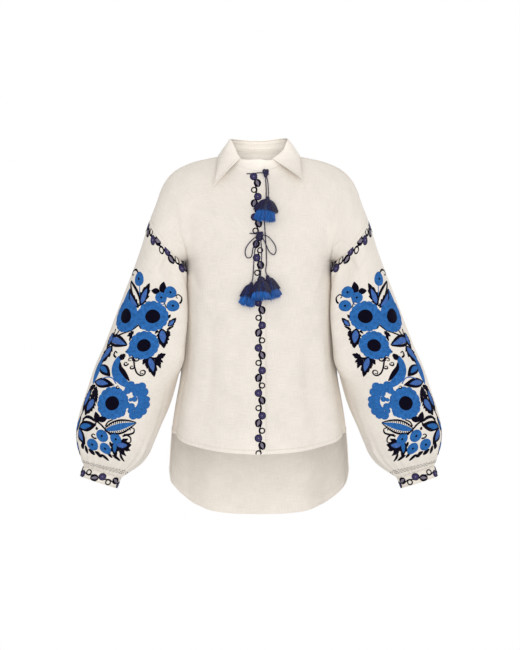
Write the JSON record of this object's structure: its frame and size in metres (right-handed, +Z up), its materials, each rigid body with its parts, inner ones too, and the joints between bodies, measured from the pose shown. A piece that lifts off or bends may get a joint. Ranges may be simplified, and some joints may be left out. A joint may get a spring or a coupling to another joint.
{
  "type": "embroidered blouse",
  "caption": "Hip-length linen blouse with shirt collar, dropped shoulders, balloon sleeves gathered into cuffs, floral embroidery, and cord ties with tassels.",
  "frame": {"origin": "middle of the neck at the height of the shoulders, where the wearer's shoulders hold the blouse up", "axes": "+Z up along the body, -Y out of the front, +X to the wearer's left"},
  "size_m": [0.783, 0.288, 0.818],
  "materials": {
    "linen": "plain-woven cream linen, matte",
    "navy_thread": "twisted navy cotton thread",
    "blue_thread": "blue cotton thread, slightly glossy"
  },
  "bodies": {
    "root": {"front_right": "linen", "front_left": "linen", "back": "linen", "sleeve_right": "linen", "sleeve_left": "linen", "cuff_right": "linen", "cuff_left": "linen", "collar_stand": "linen", "collar_leaf": "linen", "tie_upper_band": "navy_thread", "tie_upper_knot": "navy_thread", "tie_upper_short": "navy_thread", "tie_upper_long": "navy_thread", "tie_lower_band": "navy_thread", "tie_lower_knot": "navy_thread", "tie_lower_loop_left": "navy_thread", "tie_lower_loop_right": "navy_thread", "tie_lower_end_left": "navy_thread", "tie_lower_end_right": "navy_thread", "tassel_upper": "navy_thread", "tassel_left": "navy_thread", "tassel_middle": "navy_thread", "tassel_right": "navy_thread", "tassel_upper_core": "blue_thread", "tassel_left_core": "blue_thread", "tassel_middle_core": "blue_thread", "tassel_right_core": "blue_thread"}
  },
  "joints": []
}
